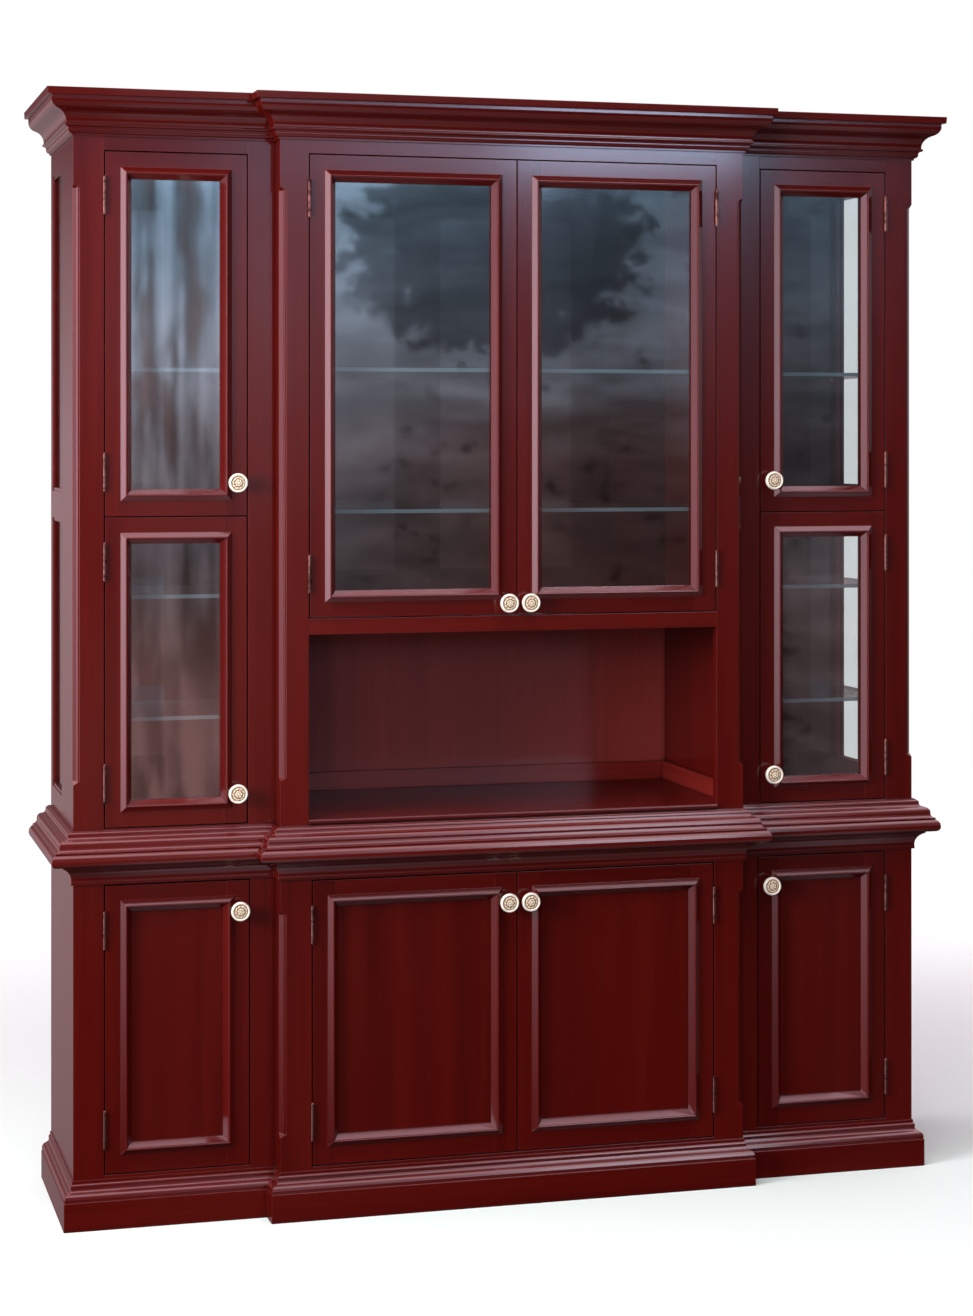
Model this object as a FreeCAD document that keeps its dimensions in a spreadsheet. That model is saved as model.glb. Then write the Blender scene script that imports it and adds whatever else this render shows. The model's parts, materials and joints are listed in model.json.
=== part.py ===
import FreeCAD, Part
import math
import os
from types import SimpleNamespace

import Sketcher

Vector = FreeCAD.Vector

# Breakfront display cabinet: a cupboard base, a counter and a glazed hutch with an open niche.
# +X is to the right, +Y to the back and +Z up. The origin is on the floor, under the middle.

# ---------------------------------------------------------------- driving dimensions, millimetres

driving = {
    # Plan of the carcass
    "case_width": 1837,             # end to end, across both wings
    "case_depth": 406,              # wing face to back
    "centre_width": 1008,           # the section between the wings
    "centre_step": 50,              # how far that section stands in front of them
    "board_thick": 22,              # ends, partitions and decks
    "frame_thick": 22,              # face frames and doors
    "back_thick": 12,
    # Heights, from the floor up
    "plinth_height": 58,
    "plinth_moulding_height": 40,
    "base_rail_show": 7,            # bottom rail seen above the plinth moulding
    "base_opening_height": 588,
    "cove_drop": 2,                 # top rail seen under the cove
    "cove_height": 41,
    "counter_thick": 27,
    "foot_height": 41,              # moulding at the hutch's foot
    "sill_show": 2,                 # bottom rail seen above that moulding
    "hutch_opening_height": 1375.5,
    "lower_opening_height": 632,    # sill to the line where a wing's two doors meet
    "niche_height": 389,
    "niche_rail": 32.5,             # rail between the niche and the centre doors
    "top_rail_show": 27.5,          # top rail seen under the cornice
    "cornice_height": 91,
    "cornice_stand": 38,            # cornice above the case's top board
    # Face frames
    "outer_stile": 62,
    "hutch_inner_stile": 57,        # wing stile beside the centre section
    "hutch_centre_stile": 60,
    "base_inner_stile": 52,
    "base_centre_stile": 66,
    "base_rail_depth": 40,          # bottom rail behind the plinth
    "chamfer": 13,
    "chamfer_run": 8,               # length of the slope that stops a chamfer
    "chamfer_bead": 3.4,            # radius of the bead along the chamfer
    "chamfer_bead_set": 1,          # bead's axis behind the chamfer, back and across alike
    "chamfer_bead_shift": 3.4,      # and nearer the front than the side
    "hutch_chamfer_rise": 90,       # sill to the chamfer
    "hutch_chamfer_drop": 97,       # chamfer to the cornice
    "base_chamfer_inset": 62,       # chamfer to either end of the base doors
    "bead_quirk": 1,                # step under the top bead of the plinth and of the hutch's foot
    # Plinth
    "plinth_reach": 21,
    "plinth_quirk": 1.5,
    "plinth_fillet": 2.5,
    "plinth_ovolo_width": 8.5,
    "plinth_ovolo_height": 14.5,
    "plinth_hollow_width": 5.5,
    "plinth_hollow_height": 10,
    "plinth_bead_width": 3,
    "plinth_bead_height": 6,
    # Cove under the counter
    "cove_lip": 5,
    "cove_reach": 23,
    "cove_fillet": 5,
    # Edge of the counter
    "nose_reach": 48,
    "nose_under": 10,               # round on its lower corner
    "nose_over": 14,                # round on its upper corner
    # Moulding at the hutch's foot
    "foot_reach": 40,
    "foot_fillet": 2.5,
    "foot_cove": 9,
    "foot_ovolo": 11,
    "foot_scotia": 8,
    "foot_bead": 5.5,
    # Cornice
    "cornice_reach": 58,
    "cornice_fillet": 4,
    "cornice_ovolo": 7,
    "cornice_quirk": 2,             # step between the lowest ovolo and the scotia
    "cornice_scotia": 5,
    "cornice_bead": 6,
    "hollow_width": 15,
    "hollow_height": 27,
    "swell_width": 15,
    "swell_height": 19,
    "cornice_fascia": 14,
    "fascia_lean": 1,
    # Doors
    "door_gap": 2.6,
    "member_width": 47,             # stiles and rails of a door
    "base_bottom_member": 53,       # bottom rail of a base door
    "bolection_lap": 16,            # moulding lying on the door's face
    "bolection_lip": 7,             # moulding inside the door's opening
    "bolection_rise": 10,
    "bolection_side": 1.2,          # its step up from the door's face
    "slope_width": 9.5,             # its outer slope
    "crest_width": 3,               # bead between its slopes
    "crest_rise": 1.5,
    "quirk_width": 1,
    "quirk_drop": 2.2,
    "lip_edge": 4,                  # thickness of the lip where it meets the pane
    "pane_depth": 9,                # door face to the pane
    "pane_thick": 4,
    "pane_clear": 1,
    "panel_thick": 8,
    "bead_width": 7,
    # Hutch ends
    "side_front_stile": 178,
    "side_back_stile": 28,
    "side_pane_lift": 44,           # sill to the lower pane
    "side_mid_rail": 57,
    "side_mid_drop": 10,            # that rail below the line where the doors meet
    "side_pane_drop": 22,           # upper pane below the top of the doors
    "side_bead_set": 2,             # outer bead behind the end's face
    "side_bead_depth": 6,
    # Hinges
    "hinge_length": 75,
    "hinge_inset": 52,              # door's end to the hinge
    "leaf_width": 18,
    "leaf_clear": 0.4,              # between the two leaves of a closed hinge
    "knuckle_radius": 3.6,
    "knuckle_clear": 0.2,           # barrel to the door's face
    "knuckle_gap": 0.3,
    "pin_radius": 1.45,
    "pin_clear": 0.05,
    "tip_radius": 2.7,
    "tip_height": 1.8,
    "tip_chamfer": 0.6,
    # Knobs
    "knob_radius": 20,
    "knob_reach": 32,
    "knob_head": 15,
    "knob_rim": 5,
    "knob_crown": 2,                # rounding between the rim's side and its front
    "knob_field_sink": 1.2,
    "knob_button": 3,               # radius of the flat at the middle of the head
    "knob_under": 4,                # underside of the head, inside its rim
    "knob_under_rise": 1,
    "knob_flare": 3,                # neck to head
    "knob_foot_radius": 8,
    "knob_foot": 3,
    "knob_neck_radius": 6.5,
    "knob_inset": 22,               # door's free edge to the knob
    "upper_knob_rise": 67,
    "lower_knob_rise": 62,
    "centre_knob_rise": 24,
    "base_knob_drop": 60,
    "bolt_radius": 2,
    "bolt_clear": 0.1,
    "bolt_grip": 10,                # bore in the knob
    "bolt_end_clear": 1,
    "bolt_head_radius": 5,
    "bolt_head": 3,
    # Catches
    "catch_width": 34,
    "catch_depth": 13,
    "catch_height": 16,
    "catch_inset": 90,              # door's free edge to the catch
    "strike_thick": 1,
    "strike_inset": 1,
    "catch_clear": 0.3,
    # Shelves
    "shelf_thick": 8,
    "shelf_setback": 24,            # back of the doors to the shelf
    "shelf_side_clear": 1.5,
    "shelf_back_clear": 1.5,
    "upper_shelf_rise": 304,        # above the line where the doors meet
    "lower_shelf_rise": 220,        # above the sill
    "middle_shelf_rise": 470,
    "centre_shelf_rise": 222,       # above the centre section's floor
    "centre_top_shelf_rise": 517,
    "peg_radius": 3,
    "peg_reach": 10,
    "peg_front_inset": 60,
    "peg_back_inset": 5,
    "base_shelf_rise": 280,
    "base_shelf_thick": 18,
    "base_shelf_setback": 40,
    "cleat_width": 14,
    "cleat_height": 22,
    # Backs and niche
    "mirror_thick": 4,
    "niche_floor_thick": 11,
    "niche_seam": 0.4,
    "niche_lip": 5,                 # edge of the niche's floor in front of the face frame
    "niche_lip_round": 4,
    "upstand_height": 40,
    "upstand_thick": 10,
}

document = FreeCAD.newDocument("display_cabinet")
sheet = document.addObject("Spreadsheet::Sheet", "Sizes")


class Length:
    """A size with its expression, so that what is worked out from sizes stays bound to the sheet."""

    def __init__(self, value, text):
        self.value = value
        self.text = text

    def joined(self, other, sign, value):
        return Length(value, "(" + self.text + " " + sign + " " + length(other).text + ")")

    def __add__(self, other):
        return self.joined(other, "+", self.value + length(other).value)

    def __sub__(self, other):
        return self.joined(other, "-", self.value - length(other).value)

    def __mul__(self, other):
        return self.joined(other, "*", self.value * length(other).value)

    def __truediv__(self, other):
        return self.joined(other, "/", self.value / length(other).value)

    def __neg__(self):
        return length(0) - self


def length(item):
    return item if isinstance(item, Length) else Length(item, repr(item))


def hypotenuse(across, up):
    text = "sqrt(" + across.text + " ^ 2 + " + up.text + " ^ 2)"
    return Length(math.hypot(across.value, up.value), text)


for row, (name, value) in enumerate(driving.items(), start=1):
    sheet.set("A" + str(row), name)
    sheet.set("B" + str(row), str(value))
    sheet.setAlias("B" + str(row), name)
document.recompute()

size = SimpleNamespace(**{name: Length(value, "Sizes." + name) for name, value in driving.items()})

# ---------------------------------------------------------------- planes worked out from the sizes

half = size.case_width / 2
centre = size.centre_width / 2
wing_face = -(size.case_depth - size.centre_step - size.cornice_reach) / 2
centre_face = wing_face - size.centre_step
rear = wing_face + size.case_depth
back_face = rear - size.back_thick              # front of the back panels
mirror_face = back_face - size.mirror_thick

plinth_top = size.plinth_height
base_sill = plinth_top + size.plinth_moulding_height + size.base_rail_show
base_head = base_sill + size.base_opening_height
cove_bottom = base_head + size.cove_drop
counter_under = cove_bottom + size.cove_height
counter_top = counter_under + size.counter_thick
foot_top = counter_top + size.foot_height
sill = foot_top + size.sill_show
door_line = sill + size.lower_opening_height    # where a wing's two doors meet
niche_head = sill + size.niche_height
centre_sill = niche_head + size.niche_rail
head = sill + size.hutch_opening_height
cornice_bottom = head + size.top_rail_show
cornice_top = cornice_bottom + size.cornice_height
case_top = cornice_top - size.cornice_stand
case_head = case_top - size.board_thick         # underside of the top board

end_inner = half - size.board_thick
partition_inner = centre - size.board_thick
wing_outer = half - size.outer_stile            # outer edge of every wing opening
hutch_wing_inner = centre + size.hutch_inner_stile
base_wing_inner = centre + size.base_inner_stile
hutch_centre_edge = centre - size.hutch_centre_stile
base_centre_edge = centre - size.base_centre_stile

# ---------------------------------------------------------------- helpers

parts = {}

about_x = Vector(1, 0, 0)
about_y = Vector(0, 1, 0)
about_z = Vector(0, 0, 1)
no_turn = FreeCAD.Rotation()
across_run = FreeCAD.Rotation(Vector(1, 1, 1), 120)     # a profile's plane, square to local X
upright = FreeCAD.Rotation(about_x, 90)                 # local Y up, local Z to the front

# An arc's bow is its radius over its chord.
quarter = 0.7072                # a quarter circle
eased = 0.8
gentle = 0.95
slight = 1.45


def bind(item, name, value):
    item.setExpression(name, length(value).text)


def place(item, x=0, y=0, z=0, turn=no_turn):
    item.Placement = FreeCAD.Placement(Vector(), turn)
    for axis, value in zip("xyz", (x, y, z)):
        bind(item, ".Placement.Base." + axis, value)
    return item


def board(name, x, y, z):
    """A box between a low and a high plane on each axis."""
    box = document.addObject("Part::Box", name)
    place(box, x[0], y[0], z[0])
    for side, (low, high) in zip(("Length", "Width", "Height"), (x, y, z)):
        bind(box, side, length(high) - low)
    return box


def rod(name, radius, height, x=0, y=0, z=0, turn=no_turn):
    cylinder = document.addObject("Part::Cylinder", name)
    bind(cylinder, "Radius", radius)
    bind(cylinder, "Height", height)
    return place(cylinder, x, y, z, turn)


def joined(kind, name, first, second):
    """A boolean of two objects: Part::Cut, Part::Fuse or Part::Common."""
    result = document.addObject(kind, name)
    result.Base = first
    result.Tool = second
    return result


def copy_at(name, items, x, y, z, turn=no_turn):
    compound = document.addObject("Part::Compound", name)
    compound.Links = items
    return place(compound, x, y, z, turn)


def part(name, pieces):
    """A named sub-part, written to a file of its own."""
    compound = document.addObject("Part::Compound", name)
    compound.Label = name
    compound.Links = pieces
    compound.Placement = FreeCAD.Placement()
    parts[name] = compound


def across(side, low, high):
    """The planes of a piece that is mirrored to the left when side is -1."""
    return (length(low), length(high)) if side > 0 else (-length(high), -length(low))


def hand(side):
    return "right" if side > 0 else "left"


def draw(sketch, steps):
    """Close a sketch's outline. A step is (u, v), a straight line to that point, or (u, v, bow), an
    arc to it that turns to the left, or to the right where its bow is negative."""
    corners = [(length(step[0]), length(step[1])) for step in steps]
    ends = []
    for index, step in enumerate(steps):
        start, end = corners[index - 1], corners[index]
        a, b = (Vector(u.value, v.value) for u, v in (start, end))
        if len(step) == 2:
            edge = sketch.addGeometry(Part.LineSegment(a, b))
            ends.append((edge, 1, 2))
            continue
        bow = step[2]
        first, last = (a, b) if bow > 0 else (b, a)
        chord = last - first
        radius = abs(bow) * chord.Length
        middle = (first + last) / 2
        rise = math.sqrt(radius ** 2 - (chord.Length / 2) ** 2) / chord.Length
        hub = middle + Vector(-chord.y, chord.x) * rise
        angles = [math.atan2(point.y - hub.y, point.x - hub.x) for point in (first, last)]
        circle = Part.Circle(hub, Vector(0, 0, 1), radius)
        edge = sketch.addGeometry(Part.ArcOfCircle(circle, *angles))
        ends.append((edge, 1, 2) if bow > 0 else (edge, 2, 1))
        span = hypotenuse(end[0] - start[0], end[1] - start[1]) * abs(bow)
        limit = sketch.addConstraint(Sketcher.Constraint("Radius", edge, radius))
        sketch.setExpression("Constraints[" + str(limit) + "]", span.text)
    for index, (edge, start, end) in enumerate(ends):
        previous = ends[index - 1]
        sketch.addConstraint(Sketcher.Constraint("Coincident", previous[0], previous[2], edge, start))
        for kind, value in zip(("DistanceX", "DistanceY"), corners[index]):
            limit = sketch.addConstraint(Sketcher.Constraint(kind, -1, 1, edge, end, value.value))
            sketch.setExpression("Constraints[" + str(limit) + "]", value.text)


def profile(name, steps):
    """A moulding's section, out along local Y and up along local Z."""
    sketch = document.addObject("Sketcher::SketchObject", name)
    sketch.Placement = FreeCAD.Placement(Vector(), across_run)
    draw(sketch, steps)
    return sketch


def extruded(name, sketch, span, back=0):
    solid = document.addObject("Part::Extrusion", name)
    solid.Base = sketch
    solid.DirMode = "Normal"
    solid.Solid = True
    bind(solid, "LengthFwd", span)
    bind(solid, "LengthRev", back)
    return solid


def turned(name, steps, plane):
    """A body turned on its sketch's upright axis. The sketch lies in one of the body's own planes."""
    body = document.addObject("PartDesign::Body", name)
    sketch = body.newObject("Sketcher::SketchObject", name + "_sketch")
    origin = {feature.Role: feature for feature in body.Origin.OriginFeatures}
    sketch.AttachmentSupport = (origin[plane], "")
    sketch.MapMode = "FlatFace"
    draw(sketch, steps)
    revolution = body.newObject("PartDesign::Revolution", name + "_turning")
    revolution.Profile = sketch
    revolution.ReferenceAxis = (sketch, ["V_Axis"])
    revolution.Angle = 360
    body.Tip = revolution
    return body


def wedge(name, limits, x=0, y=0, z=0, turn=no_turn):
    """A block whose two Y faces may differ: limits are (X, Z) low and high, near face then far."""
    near, far, depth = limits
    block = document.addObject("Part::Wedge", name)
    bind(block, "Ymin", 0)
    bind(block, "Ymax", depth)
    for mark, (xs, zs) in (("", near), ("2", far)):
        bind(block, "X" + mark + "min", xs[0])
        bind(block, "X" + mark + "max", xs[1])
        bind(block, "Z" + mark + "min", zs[0])
        bind(block, "Z" + mark + "max", zs[1])
    return place(block, x, y, z, turn)


def mitred(name, sketch, span, reach, rise, ends, x, y, z, turn):
    """A length of moulding that runs along local X and stands out along local Y. An end is cut
    for an outer corner where its sign is 1, for an inner one where it is -1 and square where 0."""
    near = ((0, span), (0, rise))
    far = ((-reach * ends[0], span + reach * ends[1]), (0, rise))
    if sketch is None:
        return wedge(name, (near, far, reach), x, y, z, turn)
    stock = extruded(name + "_stock", sketch, span + reach, reach)
    plan = wedge(name + "_plan", (near, far, reach))
    return place(joined("Part::Common", name, stock, plan), x, y, z, turn)


# Seven mitred lengths go round the front: end, wing, return, centre, return, wing, end.
front_corners = [
    (half, rear, 0), (half, wing_face, 1), (centre, wing_face, -1), (centre, centre_face, 1),
    (-centre, centre_face, 1), (-centre, wing_face, -1), (-half, wing_face, 1), (-half, rear, 0)]
front_lengths = [
    ("right_end", -90), ("right_wing", 180), ("right_return", -90), ("centre", 180),
    ("left_return", 90), ("left_wing", 180), ("left_end", 90)]


def run_round(name, sketch, reach, rise, z):
    pieces = []
    for index, (label, angle) in enumerate(front_lengths):
        x, y, first = front_corners[index]
        end_x, end_y, last = front_corners[index + 1]
        span = {-90: y - end_y, 90: end_y - y, 180: x - end_x}[angle]
        turn = FreeCAD.Rotation(about_z, angle)
        pieces.append(mitred(name + "_" + label, sketch, span, reach, rise, (first, last), x, y, z, turn))
    return pieces


def surround(name, hole, width, plane):
    """Four strips inside the rectangular hole ((low, high), (low, high)), the first pair upright.
    plane(name, across, up) makes a strip from its two ranges."""
    (left, right), (bottom, top) = hole
    inner = (left + width, right - width)
    return [
        plane(name + "_left", (left, left + width), (bottom, top)),
        plane(name + "_right", (right - width, right), (bottom, top)),
        plane(name + "_bottom", inner, (bottom, bottom + width)),
        plane(name + "_top", inner, (top - width, top))]


# ---------------------------------------------------------------- mouldings' profiles

def plinth_moulding_profile():
    edge = size.plinth_reach - size.plinth_quirk
    shoulder = edge - size.plinth_ovolo_width
    neck = shoulder - size.plinth_hollow_width
    bead = neck - size.plinth_bead_width
    top = size.plinth_fillet + size.plinth_ovolo_height
    hollow_top = top + size.plinth_hollow_height
    return profile("plinth_moulding_profile", [
        (0, 0), (edge, 0), (edge, size.plinth_fillet), (shoulder, top, quarter),
        (neck, hollow_top, -quarter), (neck, hollow_top + size.bead_quirk),
        (bead, hollow_top + size.plinth_bead_height, quarter),
        (bead, size.plinth_moulding_height), (0, size.plinth_moulding_height)])


def cove_profile():
    shoulder = size.cove_height - size.cove_fillet
    return profile("cove_profile", [
        (0, 0), (size.cove_lip, 0), (size.cove_lip, size.cove_lip), (size.cove_reach, shoulder, -eased),
        (size.cove_reach, size.cove_height), (0, size.cove_height)])


def nose_profile():
    edge = size.nose_reach
    return profile("nose_profile", [
        (0, 0), (edge - size.nose_under, 0), (edge, size.nose_under, quarter),
        (edge, size.counter_thick - size.nose_over), (edge - size.nose_over, size.counter_thick, quarter),
        (0, size.counter_thick)])


def foot_profile():
    cove = size.foot_reach - size.foot_cove
    ovolo = cove - size.foot_ovolo
    scotia = ovolo - size.foot_scotia
    bead = scotia - size.foot_bead
    cove_top = size.foot_fillet + size.foot_cove
    ovolo_foot = cove_top + size.foot_fillet
    ovolo_top = ovolo_foot + size.foot_ovolo
    scotia_top = ovolo_top + size.foot_scotia
    bead_foot = scotia_top + size.bead_quirk
    return profile("foot_profile", [
        (0, 0), (size.foot_reach, 0), (size.foot_reach, size.foot_fillet), (cove, cove_top, -quarter),
        (cove, ovolo_foot), (ovolo, ovolo_top, quarter), (scotia, scotia_top, -quarter),
        (scotia, bead_foot), (bead, bead_foot + size.foot_bead, quarter),
        (bead, size.foot_height), (0, size.foot_height)])


def cornice_profile():
    ovolo = size.cornice_fillet + size.cornice_ovolo
    scotia = ovolo + size.cornice_scotia
    bead = scotia + size.cornice_bead / 2
    hollow = bead + size.hollow_width
    swell = hollow + size.swell_width
    ovolo_top = size.cornice_fillet + size.cornice_ovolo
    scotia_foot = ovolo_top + size.cornice_quirk
    scotia_top = scotia_foot + size.cornice_scotia
    bead_top = scotia_top + size.cornice_bead
    hollow_top = bead_top + size.hollow_height
    swell_top = hollow_top + size.swell_height
    fascia_foot = size.cornice_height - size.cornice_fascia
    return profile("cornice_profile", [
        (0, 0), (size.cornice_fillet, 0), (size.cornice_fillet, size.cornice_fillet),
        (ovolo, ovolo_top, quarter), (ovolo, scotia_foot), (scotia, scotia_top, -quarter),
        (bead, scotia_top + size.cornice_bead / 2, quarter), (scotia, bead_top, quarter),
        (hollow, hollow_top, -eased), (swell, swell_top, eased), (swell, fascia_foot),
        (size.cornice_reach - size.fascia_lean, fascia_foot), (size.cornice_reach, size.cornice_height),
        (0, size.cornice_height)])


def bolection_profile():
    """From the sight line outwards, and up from the pane's face: a slope up to a small bead, a quirk
    and a broad slope down to the door's face."""
    wide = size.bolection_lap + size.bolection_lip
    crest_top = size.pane_depth + size.bolection_rise
    slope_top = crest_top - size.crest_rise
    crest = wide - size.slope_width
    crest_middle = crest - size.crest_width / 2
    quirk = crest - size.crest_width
    inner = quirk - size.quirk_width
    quirk_foot = slope_top - size.quirk_drop
    return profile("bolection_profile", [
        (0, 0), (size.bolection_lip, 0), (size.bolection_lip, size.pane_depth), (wide, size.pane_depth),
        (wide, size.pane_depth + size.bolection_side), (crest, slope_top),
        (crest_middle, crest_top, quarter), (quirk, slope_top, quarter), (quirk, quirk_foot),
        (inner, quirk_foot), (0, size.lip_edge)])


# ---------------------------------------------------------------- hardware made once, then set out

def knob_solid():
    rear_of_head = size.knob_reach - size.knob_head
    rim_middle = rear_of_head + size.knob_head / 2
    rim_front = size.knob_reach - size.knob_crown
    field = size.knob_radius - size.knob_rim
    bore = size.bolt_radius + size.bolt_clear
    return turned("knob_solid", [
        (bore, 0), (size.knob_foot_radius, 0), (size.knob_foot_radius, size.knob_foot),
        (size.knob_neck_radius, size.knob_foot * 2, -eased),
        (size.knob_neck_radius, rear_of_head - size.knob_flare),
        (size.knob_radius - size.knob_under, rear_of_head + size.knob_under_rise, -gentle),
        (size.knob_radius, rim_middle, gentle), (size.knob_radius - size.knob_crown, rim_front, slight),
        (field, rim_front - size.knob_field_sink, gentle), (size.knob_button, size.knob_reach),
        (0, size.knob_reach), (0, size.bolt_grip), (bore, size.bolt_grip)], "XY_Plane")


def bolt_solid():
    length_through = size.bolt_head + size.frame_thick + size.bolt_grip - size.bolt_end_clear
    return turned("bolt_solid", [
        (0, 0), (size.bolt_head_radius, 0), (size.bolt_head_radius, size.bolt_head),
        (size.bolt_radius, size.bolt_head), (size.bolt_radius, length_through), (0, length_through)],
        "XY_Plane")


knuckles = 5
face_offset = size.knuckle_radius + size.knuckle_clear      # hinge axis in front of a door's face
knuckle_length = (size.hinge_length - size.knuckle_gap * (knuckles - 1)) / knuckles


def leaf_solid(name, first, side):
    """A leaf on the +X side of the hinge's axis, or -X where side is -1, with every second knuckle."""
    thick = across(side, size.leaf_clear / 2, size.door_gap / 2)
    bottom = -size.hinge_length / 2
    pieces = [board(name + "_plate", thick, (face_offset, face_offset + size.leaf_width), (bottom, -bottom))]
    for index in range(first, knuckles, 2):
        low = bottom + (knuckle_length + size.knuckle_gap) * index
        tag = name + "_" + str(index)
        pieces.append(rod(tag + "_barrel", size.knuckle_radius, knuckle_length, z=low))
        neck = (size.pin_radius + size.pin_clear, face_offset)
        pieces.append(board(tag + "_neck", thick, neck, (low, low + knuckle_length)))
    body = document.addObject("Part::MultiFuse", name + "_body")
    body.Shapes = pieces
    bore = rod(name + "_bore", size.pin_radius + size.pin_clear, size.hinge_length, z=bottom)
    return joined("Part::Cut", name, body, bore)


def pin_solid():
    low = size.tip_height
    high = size.tip_height + size.hinge_length
    top = high + size.tip_height
    eased_tip = size.tip_radius - size.tip_chamfer
    body = turned("pin_turned", [
        (0, 0), (eased_tip, 0), (size.tip_radius, size.tip_chamfer), (size.tip_radius, low),
        (size.pin_radius, low), (size.pin_radius, high), (size.tip_radius, high),
        (size.tip_radius, top - size.tip_chamfer), (eased_tip, top), (0, top)], "XZ_Plane")
    return place(body, z=-size.hinge_length / 2 - size.tip_height)


knob = knob_solid()
bolt = bolt_solid()
door_leaf = leaf_solid("door_leaf", 1, 1)
case_leaf = leaf_solid("case_leaf", 0, -1)
pin = pin_solid()
bolection = bolection_profile()

case_hinges = []
catches = []

# ---------------------------------------------------------------- face frames

def chamfered(name, piece, side, x, y, low, high):
    """The piece with its front outer corner cut back at 45 degrees, between two sloping stops.
    A bead is left standing along the cut, nearer the front than the side."""
    run = size.chamfer_run
    wide = (-size.chamfer, size.chamfer)
    past_corner = 0.75          # of the chamfer: enough to clear the corner it cuts
    limits = ((wide, (low + run, high - run)), (wide, (low, high)), size.chamfer * past_corner)
    inset = size.chamfer / 2
    turn = FreeCAD.Rotation(about_z, -135 * side)
    tool = wedge(name + "_tool", limits, x - inset if side > 0 else -x + inset, y + inset, 0, turn)
    middle = inset + size.chamfer_bead_set
    across_set = middle + size.chamfer_bead_shift
    back_set = middle - size.chamfer_bead_shift
    bead_x = x - across_set if side > 0 else -x + across_set
    bead = rod(name + "_bead", size.chamfer_bead, high - low, bead_x, y + back_set, low)
    cutter = joined("Part::Cut", name + "_cutter", tool, bead)
    return joined("Part::Cut", name + "_chamfered", piece, cutter)


wing_frame = (wing_face, wing_face + size.frame_thick)
centre_frame = (centre_face, centre_face + size.frame_thick)


def base_face_frame():
    pieces = []
    full = (0, counter_under)
    upper = (base_head, counter_under)
    lower = (base_sill - size.base_rail_depth, base_sill)
    ends = (base_sill + size.base_chamfer_inset, base_head - size.base_chamfer_inset)
    for side in (-1, 1):
        tag = "base_" + hand(side)
        post = board(tag + "_centre_stile", across(side, base_centre_edge, centre), centre_frame, full)
        opening = across(side, base_wing_inner, wing_outer)
        pieces += [
            board(tag + "_outer_stile", across(side, wing_outer, half), wing_frame, full),
            board(tag + "_inner_stile", across(side, centre, base_wing_inner), wing_frame, full),
            chamfered(tag + "_centre_stile", post, side, centre, centre_face, *ends),
            board(tag + "_top_rail", opening, wing_frame, upper),
            board(tag + "_bottom_rail", opening, wing_frame, lower)]
    middle = (-base_centre_edge, base_centre_edge)
    pieces.append(board("base_centre_top_rail", middle, centre_frame, upper))
    pieces.append(board("base_centre_bottom_rail", middle, centre_frame, lower))
    part("base_face_frame", pieces)


def hutch_face_frame():
    pieces = []
    full = (counter_top, case_top)
    upper = (head, case_top)
    lower = (counter_top, sill)
    ends = (sill + size.hutch_chamfer_rise, cornice_bottom - size.hutch_chamfer_drop)
    for side in (-1, 1):
        tag = "hutch_" + hand(side)
        outer = board(tag + "_outer_stile", across(side, wing_outer, half), wing_frame, full)
        post = board(tag + "_centre_stile", across(side, hutch_centre_edge, centre), centre_frame, full)
        opening = across(side, hutch_wing_inner, wing_outer)
        pieces += [
            chamfered(tag + "_outer_stile", outer, side, half, wing_face, *ends),
            chamfered(tag + "_centre_stile", post, side, centre, centre_face, *ends),
            board(tag + "_inner_stile", across(side, centre, hutch_wing_inner), wing_frame, full),
            board(tag + "_top_rail", opening, wing_frame, upper),
            board(tag + "_bottom_rail", opening, wing_frame, lower)]
    middle = (-hutch_centre_edge, hutch_centre_edge)
    pieces.append(board("hutch_centre_top_rail", middle, centre_frame, upper))
    pieces.append(board("niche_rail", middle, centre_frame, (niche_head, centre_sill)))
    pieces.append(board("hutch_centre_bottom_rail", middle, centre_frame, lower))
    part("hutch_face_frame", pieces)


# ---------------------------------------------------------------- carcass boards

wing_inside = wing_face + size.frame_thick
centre_inside = centre_face + size.frame_thick
partition_middle = centre - size.board_thick / 2


def bay_boards(name, z, front=0, rear_plane=back_face):
    """A board across each of the three bays, behind the face frames."""
    boards = []
    for side in (-1, 1):
        x = across(side, centre, end_inner)
        boards.append(board(name + "_" + hand(side), x, (wing_inside + front, rear_plane), z))
    x = (-partition_inner, partition_inner)
    boards.append(board(name + "_centre", x, (centre_inside + front, rear_plane), z))
    return boards


def back_boards(name, z):
    x = across(1, partition_middle, end_inner)
    boards = [board(name + "_right", x, (back_face, rear), z)]
    boards.append(board(name + "_left", across(-1, *x), (back_face, rear), z))
    boards.append(board(name + "_centre", (-partition_middle, partition_middle), (back_face, rear), z))
    return boards


def partitions(name, z):
    return [
        board(name + "_" + hand(side), across(side, partition_inner, centre), (centre_inside, back_face), z)
        for side in (-1, 1)]


def base_carcass():
    full = (0, counter_under)
    ends = [
        board("base_end_" + hand(side), across(side, end_inner, half), (wing_inside, rear), full)
        for side in (-1, 1)]
    floors = bay_boards("base_floor", (base_sill - size.board_thick, base_sill))
    part("base_carcass", ends + partitions("base_partition", full) + floors)


def base_shelves():
    level = base_sill + size.base_shelf_rise
    under = level - size.base_shelf_thick
    front = size.base_shelf_setback
    pieces = bay_boards("base_shelf", (under, level), front, back_face - size.shelf_back_clear)
    height = (under - size.cleat_height, under)
    bays = [(-end_inner, -centre, wing_inside), (-partition_inner, partition_inner, centre_inside),
            (centre, end_inner, wing_inside)]
    for bay, (left, right, face) in enumerate(bays):
        y = (face + front + size.cleat_width, back_face)
        tag = "cleat_" + str(bay)
        pieces.append(board(tag + "_left", (left, left + size.cleat_width), y, height))
        pieces.append(board(tag + "_right", (right - size.cleat_width, right), y, height))
    part("base_shelves_and_cleats", pieces)


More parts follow.
